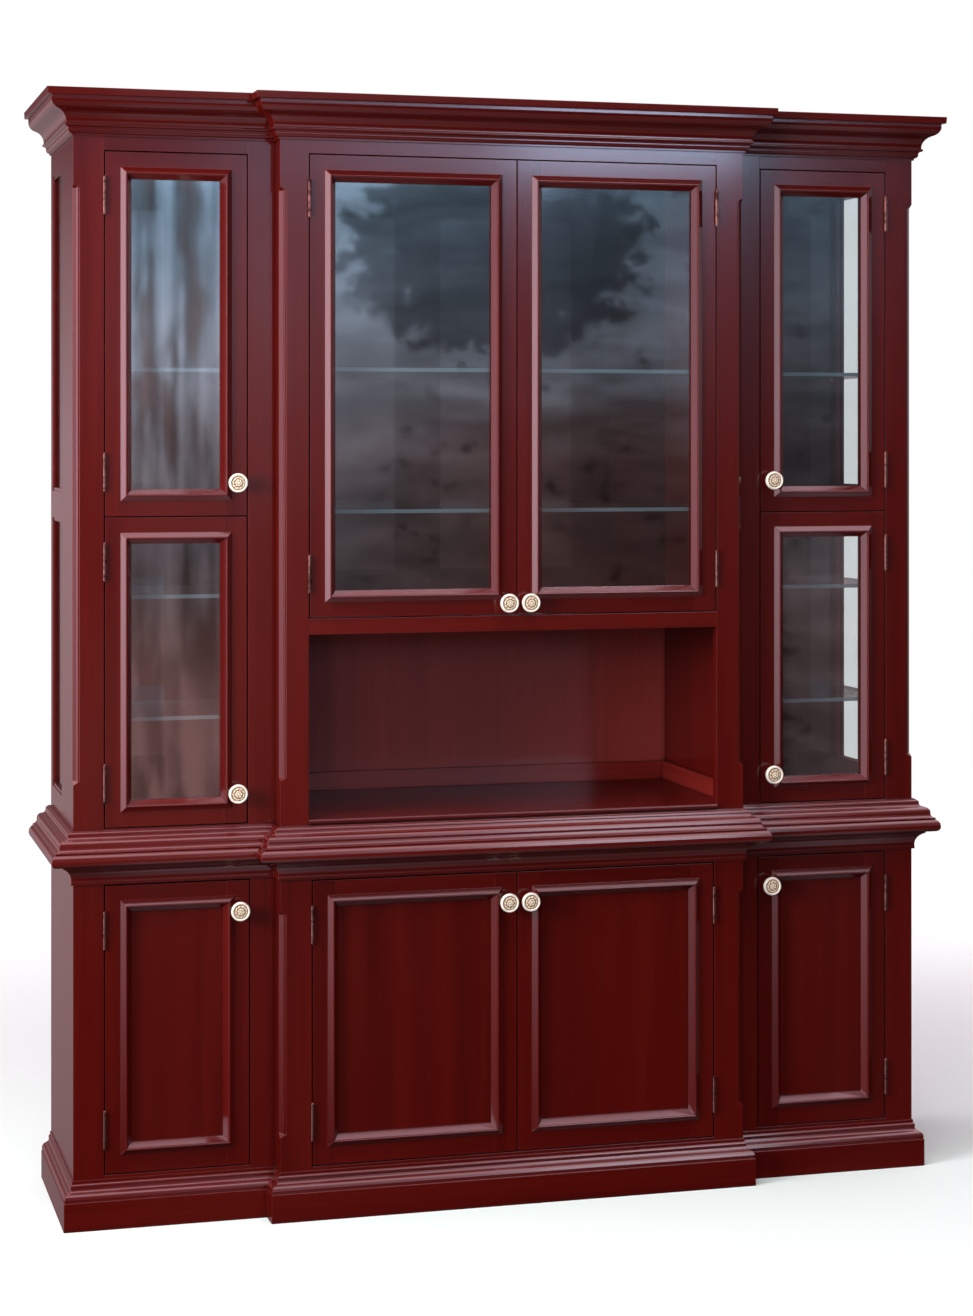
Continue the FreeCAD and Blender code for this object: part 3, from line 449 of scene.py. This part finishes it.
flower = {
    "outer": {"count": 9, "from": (8.9, 10.0), "to": (12.2, 13.3), "swirl": 0.11, "about": 9.0, "turn": 0.0,
              "roundness": 0.8, "vein": 0.18, "height": 0.85},
    "inner": {"count": 6, "from": (3.3, 4.3), "to": (6.6, 7.8), "swirl": -0.16, "about": 4.0, "turn": 0.3,
              "roundness": 0.9, "vein": 0.0, "height": 1.0},
    "heart": (2.4, 3.4),
    "heartHeight": 0.9,
    "holes": [(1.9, 0.4, 0.62), (1.7, 2.7, 0.5), (4.1, 4.4, 0.5), (4.4, 1.5, 0.38)],   # out, round, radius
    "holeEdge": (0.6, 1.25),
}


def smoothBetween(value, low, high):
    share = np.clip((value - low) / (high - low), 0.0, 1.0)
    return share * share * (3 - 2 * share)


def petals(radius, angle, ring):
    band = smoothBetween(radius, *ring["from"]) * (1 - smoothBetween(radius, *ring["to"]))
    turned = angle + ring["swirl"] * (radius - ring["about"]) + ring["turn"]
    petal = np.abs(np.cos(turned * ring["count"] / 2)) ** ring["roundness"]
    vein = 1 - ring["vein"] + ring["vein"] * np.abs(np.sin(turned * ring["count"]))
    return band * petal * vein * ring["height"]


def rosette(radius, angle):
    # height of the relief, 0 to 1, and how deep it is pierced
    height = petals(radius, angle, flower["outer"]) + petals(radius, angle, flower["inner"])
    height += (1 - smoothBetween(radius, *flower["heart"])) * flower["heartHeight"]
    deep = np.zeros_like(radius)
    for out, turn, size in flower["holes"]:
        across = radius * np.cos(angle) - out * math.cos(turn)
        along = radius * np.sin(angle) - out * math.sin(turn)
        near, far = (size * edge for edge in flower["holeEdge"])
        deep = np.maximum(deep, 1 - smoothBetween(np.hypot(across, along), near, far))
    return height, deep


def knobMesh():
    around = knob["around"]
    angles = np.arange(around) * 2 * math.pi / around
    points, hollow, pit, rings = [], [], [], []
    profile = [(radius, out, False) for radius, out in knob["side"]]
    steps = knob["rings"]
    profile += [(knob["field"] * (1 - step / steps), 0.0, True) for step in range(steps)]
    for radius, out, inField in profile:
        if inField:
            lift, deep = rosette(np.full(around, radius), angles)
            ground = knob["fieldFloor"] + knob["dome"] * math.cos(math.pi / 2 * radius / knob["field"])
            height = np.minimum(ground + lift * knob["relief"], knob["reach"]) - deep * knob["pierced"]
            shade = knob["petalShade"] + (1 - knob["petalShade"]) * (1 - np.clip(lift, 0, 1))
        else:
            deep = np.zeros(around)
            height = np.full(around, out)
            shade = np.full(around, 0.0 if out > knob["stem"] else knob["stemShade"])
        rings.append(range(len(points), len(points) + around))
        for turn, angle in enumerate(angles):
            points.append((radius * math.cos(angle) * mm, -height[turn] * mm, radius * math.sin(angle) * mm))
        hollow.extend(shade)
        pit.extend(deep)
    lift, deep = rosette(np.zeros(1), np.zeros(1))
    tip = min(knob["fieldFloor"] + knob["dome"] + lift[0] * knob["relief"], knob["reach"])
    middle = len(points)
    points.append((0.0, -tip * mm, 0.0))
    hollow.append(knob["tipShade"])
    pit.append(deep[0])
    faces = []
    for first, second in zip(rings, rings[1:]):
        for turn in range(around):
            after = (turn + 1) % around
            faces.append((first[turn], second[turn], second[after], first[after]))
    last = rings[-1]
    faces += [(last[turn], middle, last[(turn + 1) % around]) for turn in range(around)]
    faces.append(tuple(rings[0]))                   # the foot, against the door
    mesh = bpy.data.meshes.new("glazedKnob")
    mesh.from_pydata(points, [], faces)
    for name, values in (("hollow", hollow), ("pit", pit)):
        mesh.attributes.new(name, "FLOAT", "POINT").data.foreach_set("value", values)
    mesh.polygons.foreach_set("use_smooth", [len(face) < 5 for face in faces])
    mesh.materials.append(glazeMaterial("glazedCeramic", glaze))
    mesh.validate()
    return mesh


ceramic = knobMesh()
knobNodes = sorted(name for name in frame["nodes"] if name.endswith("_knob"))
for count, node in enumerate(knobNodes):
    low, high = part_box(node)
    piece = bpy.data.objects.new(node.replace("_knob", "_glazedKnob"), ceramic)
    piece.location = ((low.x + high.x) / 2, high.y, (low.z + high.z) / 2)
    piece.rotation_euler = (0.0, knob["turn"][0] + knob["turn"][1] * count, 0.0)    # no two screwed on alike
    scene.collection.objects.link(piece)
    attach(piece, node.replace("_knob", "_door"))
    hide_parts(node)
print("knobs:", len(knobNodes))

# ---- screws of the hinges

hinge = {
    "gap": 1.3 * mm,         # from a door's edge to the middle of the gap
    "leafGap": 0.2 * mm,     # from there to a leaf
    "half": 37.5 * mm,       # half its height
    "inset": 52.0 * mm,      # from the door's end to the hinge
    "rebate": 9.0 * mm,      # from the door's face to its pane or panel
}
screw = {
    "radius": 3.1 * mm,
    "proud": 0.1 * mm,
    "taper": 0.93,           # of its top against its foot
    "slot": 0.45 * mm,       # half the slot
    "steps": 12,             # round half a head
    "spread": 25.0 * mm,     # from the middle of a leaf to its outer screws
    "behind": 12.5 * mm,     # from the door's face
    "stagger": 3.2 * mm,     # how much nearer the face the middle one is
    "doorTurn": 1.7,         # of the slot, from one screw to the next
    "caseTurn": 2.9,
}


def addScrew(shape, place, side, turn):
    # two raised half moons on the leaf; side is the way they face
    start = math.asin(screw["slot"] / screw["radius"])
    steps = screw["steps"]
    for half in (-1, 1):
        ground, top = [], []
        for step in range(steps + 1):
            angle = start + (math.pi - 2 * start) * step / steps
            u, v = screw["radius"] * math.cos(angle), half * screw["radius"] * math.sin(angle)
            y = u * math.cos(turn) - v * math.sin(turn)
            z = u * math.sin(turn) + v * math.cos(turn)
            ground.append(shape.verts.new(place + Vector((0.0, y, z))))
            raised = Vector((side * screw["proud"], y * screw["taper"], z * screw["taper"]))
            top.append(shape.verts.new(place + raised))
        shape.faces.new(top)
        shape.faces.new(list(reversed(ground)))
        for index in range(steps + 1):
            after = (index + 1) % (steps + 1)
            shape.faces.new((ground[index], ground[after], top[after], top[index]))


def addPiece(name, shape, body, material):
    bmesh.ops.recalc_face_normals(shape, faces=shape.faces)
    mesh = bpy.data.meshes.new(name)
    shape.to_mesh(mesh)
    shape.free()
    mesh.materials.append(material)
    piece = bpy.data.objects.new(name, mesh)
    scene.collection.objects.link(piece)
    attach(piece, body)


caseScrews = bmesh.new()
pairs = 0
for joint in frame["joints"]:
    door = joint["child"].replace("_door", "")
    low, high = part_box(door + "_frame")
    hung = 1 if joint["axis"][2] > 0 else -1        # 1 where it hangs at its right edge
    axis = (high.x if hung > 0 else low.x) + hung * hinge["gap"]
    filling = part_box(door + ("_panel" if door.startswith("base") else "_glass"))
    face = filling[0].y - hinge["rebate"]
    reach = hinge["inset"] + hinge["half"]
    doorScrews = bmesh.new()
    for middle in (low.z + reach, high.z - reach):
        for row in (-1, 0, 1):
            y = face + screw["behind"] - (0 if row else screw["stagger"])
            z = middle + row * screw["spread"]
            pairs += 1
            onDoor = Vector((axis - hung * hinge["leafGap"], y, z))
            onCase = Vector((axis + hung * hinge["leafGap"], y, z))
            addScrew(doorScrews, onDoor, hung, pairs * screw["doorTurn"])
            addScrew(caseScrews, onCase, -hung, pairs * screw["caseTurn"])
    addPiece(door + "_leafScrews", doorScrews, joint["child"], agedBrass)
addPiece("case_leafScrews", caseScrews, "case", agedBrass)
print("screws:", pairs * 2)

# ---- grain on every board, finishes on every node

boards = {
    "seed": 11,
    "tone": 0.16,            # lightest to darkest board
    "mouldingTone": 0.06,
    "plainFaces": 40,        # a board with fewer faces is no moulding
    "log": 40.0,             # how far apart the boards are cut from the figure
    "weld": 1e5,             # points closer than 1 / weld are one
    # painted light and shade: the niche's upstand lighter, its floor darker
    "liningTone": {"floor": -0.22, "upstand": 0.36},
}


def boardsOf(mesh):
    # a board is a closed shell, and its faces follow one another
    spots = [tuple(round(c * boards["weld"]) for c in vertex.co) for vertex in mesh.vertices]
    loose, faces = set(), []
    for face in mesh.polygons:
        ring = [spots[index] for index in face.vertices]
        for edge in zip(ring, ring[1:] + ring[:1]):
            if edge[0] != edge[1]:
                loose ^= {frozenset(edge)}
        faces.append(face)
        if not loose:
            yield faces
            faces = []
    if faces:
        yield faces


def markGrain(piece, dice, paintedLightTone=None):
    mesh = piece.data
    places = np.zeros(len(mesh.vertices) * 3, np.float32)
    mesh.vertices.foreach_get("co", places)
    places = places.reshape(-1, 3)
    grain = np.zeros_like(places)
    tone = np.zeros(len(places), np.float32)
    count = 0
    for faces in boardsOf(mesh):
        used = sorted({index for face in faces for index in face.vertices})
        own = places[used]
        size = own.max(0) - own.min(0)
        shift = dice.uniform(0.0, boards["log"], 3)
        grain[used] = own[:, np.argsort(-size)] + shift      # the longest side runs with the grain
        spread = boards["tone"] if len(faces) < boards["plainFaces"] else boards["mouldingTone"]
        tone[used] = dice.uniform(-spread / 2, spread / 2)
        # painted light: upstand boards lighter, floor boards darker
        if paintedLightTone:
            tone[used] += paintedLightTone["floor"] if size[2] == min(size) else paintedLightTone["upstand"]
        count += 1
    mesh.attributes.new("grain", "FLOAT_VECTOR", "POINT").data.foreach_set("vector", grain.ravel())
    mesh.attributes.new("tone", "FLOAT", "POINT").data.foreach_set("value", tone)
    return count


finishes = {
    "lacquered_wood": caseWood,
    "back_wood": backWood,
    "inside_wood": insideWood,
    "door_glass": doorGlass,
    "end_glass": endGlass,
    "shelf_glass": plateShelf,
    "mirror": smokedMirror,
    "brass": agedBrass,
}
dice = np.random.RandomState(boards["seed"])
total = 0
for name in sorted(frame["nodes"]):
    piece = frame["nodes"][name]
    slotName = piece.data.materials[0].name
    if slotName == "knob":
        continue
    finish = finishes[slotName]
    paintedLightTone = None
    if name.endswith("_panel"):
        finish = panelWood
    if name == "niche_lining":
        finish = liningWood
        paintedLightTone = boards["liningTone"]
    if "wood" in slotName:
        total += markGrain(piece, dice, paintedLightTone)
    for index in range(len(piece.material_slots)):
        piece.material_slots[index].material = finish
print("boards:", total)

# ---- floor

floor = {
    "radius": 6.5,
    "fade": (1.6, 6.2),      # from the middle, where it starts to melt into the white, and where it is gone
    "sides": 96,
    "colour": (0.78, 0.93, 0.87),
    "speck": (0.6, 0.6, 0.6),
    "speckSize": 40.0,
    "speckShare": 0.06,
    "roughness": 0.8,
    "specular": 0.1,
}
shape = bmesh.new()
bmesh.ops.create_circle(shape, cap_ends=True, radius=floor["radius"], segments=floor["sides"])
mesh = bpy.data.meshes.new("floor")
shape.to_mesh(mesh)
shape.free()
ground = bpy.data.objects.new("floor", mesh)
scene.collection.objects.link(ground)
material, start = newMaterial("paleFloor")
place = ownPlace(start)
far = start.node("ShaderNodeVectorMath", {"operation": "LENGTH"}, {0: place}, out="Value")
paint = mixed(place.noise(floor["speckSize"], 2.0) * floor["speckShare"], floor["colour"], floor["speck"])
painted = principled(start, {
    "Base Color": paint, "Roughness": floor["roughness"], "Specular IOR Level": floor["specular"]})
finished(start, blended(start, far.step(*floor["fade"]), painted, clearing(start)))
mesh.materials.append(material)
ground.visible_glossy = False
ground.visible_diffuse = False

# ---- the room, as wood and glass mirror it

studio = {
    # colours met in front and behind, after the rise of the way there, from the floor to overhead
    "front": [(-0.50, (0.65, 0.52, 0.60)), (-0.36, (0.050, 0.028, 0.028)), (-0.30, (0.050, 0.026, 0.026)),
              (-0.16, (0.12, 0.075, 0.080)), (-0.07, (0.22, 0.16, 0.17)), (0.00, (0.34, 0.31, 0.36)),
              (0.04, (0.46, 0.52, 0.65)), (0.095, (0.52, 0.76, 1.04)), (0.104, (1.25, 1.80, 2.60)),
              (0.13, (1.90, 2.00, 2.80)), (0.20, (0.90, 0.85, 1.00)), (0.50, (1.20, 1.10, 1.20))],
    "rear": [(-0.50, (0.060, 0.040, 0.045)), (-0.36, (0.10, 0.070, 0.075)), (-0.27, (0.24, 0.17, 0.18)),
             (-0.14, (0.33, 0.25, 0.265)), (0.00, (0.40, 0.31, 0.335)), (0.07, (0.26, 0.19, 0.205)),
             (0.12, (0.07, 0.04, 0.05)), (0.30, (0.40, 0.36, 0.38)), (0.50, (1.20, 1.10, 1.20))],
    "ahead": (0.2, -0.3),             # of north
    "left": (6.5, 5.2, 6.0),
    "leftEast": (-0.70, -0.88),
    "leftRise": (-0.27, 0.02),
    "farLeft": (2.0, 1.6, 1.9),
    "farLeftEast": (-0.94, -0.985),
    "right": (0.9, 0.8, 0.9),
    "rightEast": (0.75, 0.95),
    "rightRise": (-0.1, 0.1),
    "above": (3.9, 2.9, 3.3),
    "aboveRise": (0.62, 0.9),
    "softer": 0.88,                   # how much of it matt surfaces miss
}
garden = {
    # three factors that draw it out, then detail, roughness and distortion
    "mist": ((5.0, 5.0, 9.0), 4.0, 0.6, 0.8),
    "folds": ((230.0, 0.0, 2.5), 2.0),
    "drapes": ((110.0, 0.0, 16.0), 3.0, 0.6),
    "leaves": ((95.0, 0.0, 120.0), 6.0, 0.68, 0.4),
    "fields": ((24.0, 0.0, 85.0), 4.0, 0.6, 0.5),
    "skyline": (0.102, 0.095),        # of rise
    "indoors": (0.19, 0.18),          # of east: the curtained part, in the left doors
    # brightness below the skyline and over it: the first, then what is added on the way east
    "low": [0.3, (1.5, 0.128, 0.136), (-0.75, 0.18, 0.205), (-0.3, 0.26, 0.31), (-0.4, 0.345, 0.36),
            (-0.15, 0.402, 0.412)],
    "high": [0.15, (0.6, 0.15, 0.19), (0.6, 0.2, 0.24), (4.8, 0.26, 0.29), (-6.05, 0.345, 0.362)],
    # brighter and darker patches: added or scaled, how much, the rise, and the bounds on the way east
    "patches": [("added", -0.3, (0.01, -0.04), [(0.19, 0.21), (0.285, 0.265)]),
                ("scaled", -0.35, (0.03, 0.07), [(0.19, 0.18)]),
                ("scaled", -0.3, (0.03, 0.07), [(0.265, 0.30)]),
                ("added", 1.9, (-0.06, 0.05), [(0.166, 0.174), (0.192, 0.184)]),
                ("scaled", 0.6, (0.035, 0.06), [(0.2, 0.21)]),
                ("scaled", 0.25, (0.0, 0.02), [(0.17, 0.165)]),
                ("added", 1.2, (-0.02, -0.05), [(0.366, 0.374), (0.405, 0.40)])],
    "mistAt": (0.62, 0.38),
    "mistShade": 0.4,
    "warm": (1.25, 0.80, 0.68),       # tint of drapes and soil
}
curtain = {
    "foldAt": (0.62, 0.4),
    "foldShade": 0.45,
    "dim": 0.5,
    "lightAt": (0.42, 0.58),
    "light": 0.9,
    "warmAt": (0.5, 0.4),
    "warmth": 0.8,
    "glow": (0.85, 0.42, 0.40),       # of a lit room, low behind it
    "glowEast": (0.19, 0.175),
    "glowTop": (-0.05, -0.10),
    "glowFoot": (-0.165, -0.15),
    "glowAt": (0.4, 0.6),
    "glowDim": 0.4,
    "glowLight": 0.8,
    "glowShare": 0.6,
}
tree = {
    "east": 0.268,
    "rise": 0.070,
    "across": 22.0,          # the higher, the narrower
    "up": 30.0,
    "crownAt": (2.2, 0.0),
    "thicker": 0.34,
    "leafAt": (0.56, 0.66),
    "shade": 0.72,
}
soil = {
    "uneven": 0.05,
    "top": (0.045, 0.015),
    "from": (0.2, 0.3),
    "to": (0.37, 0.36),
    "shade": 0.35,
    "dim": 0.75,
    "lightAt": (0.35, 0.65),
    "light": 0.5,
    "warmth": 0.9,
}
world = bpy.data.worlds.new("studio")
world.use_nodes = True
world.node_tree.nodes.clear()
scene.world = world
start = Wire(world.node_tree)
way = start.node("ShaderNodeTexCoord", None, None, out="Generated")
east, north, rise = (start.node("ShaderNodeSeparateXYZ", None, {0: way}, out=axis) for axis in "XYZ")
mist, folds, drapes, leaves, fields = (
    way.pattern(*garden[name]) for name in ("mist", "folds", "drapes", "leaves", "fields"))


def byRise(stops):
    # a ramp runs from 0 to 1, so the rise from -0.5 to 0.5 is laid over it
    return start.node("ShaderNodeValToRGB", {"stops": [(place + 0.5, colour) for place, colour in stops]},
                      {"Fac": rise + 0.5})


def goingEast(first, *parts):
    level = first
    for amount, low, high in parts:
        level = level + amount * east.step(low, high)
    return level


under = rise.step(*garden["skyline"])
indoors = east.step(*garden["indoors"])
crown = ((east - tree["east"]) * tree["across"]) ** 2.0 + ((rise - tree["rise"]) * tree["up"]) ** 2.0
foliage = (leaves + crown.step(*tree["crownAt"]) * tree["thicker"]).step(*tree["leafAt"])
earth = (fields * soil["uneven"] + rise).step(*soil["top"])
earth = earth * east.step(*soil["from"]) * east.step(*soil["to"])
cloth = 1 - folds.step(*curtain["foldAt"]) * curtain["foldShade"]
cloth = cloth * (curtain["dim"] + drapes.step(*curtain["lightAt"]) * curtain["light"])
outside = (1 - foliage * tree["shade"]) * (1 - earth * soil["shade"])
outside = outside * (soil["dim"] + fields.step(*soil["lightAt"]) * soil["light"])

low = goingEast(*garden["low"])
for manner, amount, height, bounds in garden["patches"]:
    patch = amount * rise.step(*height)
    for bound in bounds:
        patch = patch * east.step(*bound)
    low = low + patch if manner == "added" else low * (1 + patch)
low = low * (1 - mist.step(*garden["mistAt"]) * garden["mistShade"])
low = low * (cloth * indoors + outside * (1 - indoors))
gain = under * low + (1 - under) * goingEast(*garden["high"])
front = start.node("ShaderNodeVectorMath", {"operation": "SCALE"},
                   {0: byRise(studio["front"]), "Scale": gain})

warmCloth = drapes.step(*curtain["warmAt"]) * indoors * curtain["warmth"]
warmth = under * start.maths("MAXIMUM", warmCloth, earth * soil["warmth"])
front = mixed(warmth, front, mixed(1.0, front, garden["warm"], "MULTIPLY"))
glow = east.step(*curtain["glowEast"]) * rise.step(*curtain["glowTop"]) * rise.step(*curtain["glowFoot"])
glow = glow * (curtain["glowDim"] + drapes.step(*curtain["glowAt"]) * curtain["glowLight"])
front = mixed(glow * curtain["glowShare"], front, curtain["glow"])

light = mixed(north.step(*studio["ahead"]), byRise(studio["rear"]), front)
leftWindow = east.step(*studio["leftEast"]) * rise.step(*studio["leftRise"])
leftLight = mixed(east.step(*studio["farLeftEast"]), studio["left"], studio["farLeft"])
light = mixed(leftWindow, light, leftLight)
rightWindow = east.step(*studio["rightEast"]) * rise.step(*studio["rightRise"])
light = mixed(rightWindow, light, studio["right"])
light = mixed(rise.step(*studio["aboveRise"]), light, studio["above"])
seen = start.node("ShaderNodeLightPath", None, None, out="Is Camera Ray")
matt = start.node("ShaderNodeLightPath", None, None, out="Is Diffuse Ray")
lit = start.node("ShaderNodeBackground", None, {"Color": light, "Strength": 1 - matt * studio["softer"]})
white = start.node("ShaderNodeBackground", None, {"Color": (1.0, 1.0, 1.0, 1.0), "Strength": 1.0})
start.node("ShaderNodeOutputWorld", None, {"Surface": blended(start, seen, lit, white)})
print("room: nodes", len(world.node_tree.nodes))

# ---- lamps and camera

lamps = {
    "leftBox": {"place": (-3.3, -1.7, 1.9), "aim": (-0.6, -0.15, 1.75), "size": (1.5, 0.9),
                "power": 66.0, "spread": 110, "colour": (1.0, 0.97, 0.95)},
    "frontBox": {"place": (-1.7, -4.5, 1.6), "aim": (0.0, 0.0, 1.0), "size": (1.6, 1.4),
                 "power": 72.0, "spread": 180, "colour": (1.0, 0.99, 0.98)},
    "topBox": {"place": (-0.6, -1.5, 4.6), "aim": (0.0, -0.3, 0.0), "size": (2.4, 1.0),
               "power": 60.0, "spread": 180, "colour": (1.0, 1.0, 1.0)},
}
for name, values in lamps.items():
    data = bpy.data.lights.new(name, "AREA")
    data.shape = "RECTANGLE"
    data.size, data.size_y = values["size"]
    data.energy = values["power"]
    data.color = values["colour"]
    data.spread = math.radians(values["spread"])
    lamp = bpy.data.objects.new(name, data)
    lamp.location = values["place"]
    aim = Vector(values["aim"]) - Vector(values["place"])
    lamp.rotation_euler = aim.to_track_quat("-Z", "Y").to_euler()
    lamp.visible_camera = False
    lamp.visible_glossy = False
    scene.collection.objects.link(lamp)
print("lamps:", len(lamps))

camera = {
    "place": (-1.5523, -5.5674, 1.5982),
    "turn": -15.47,
    "lens": 73.06,
    "sensor": 36.0,
    "shift": -0.1672,
}
data = bpy.data.cameras.new("camera")
data.lens = camera["lens"]
data.sensor_width = camera["sensor"]
data.shift_y = camera["shift"]
eye = bpy.data.objects.new("camera", data)
eye.location = camera["place"]
eye.rotation_euler = (math.radians(90), 0.0, math.radians(camera["turn"]))
scene.collection.objects.link(eye)
scene.camera = eye
scene.view_settings.view_transform = "Standard"
scene.view_settings.look = "None"
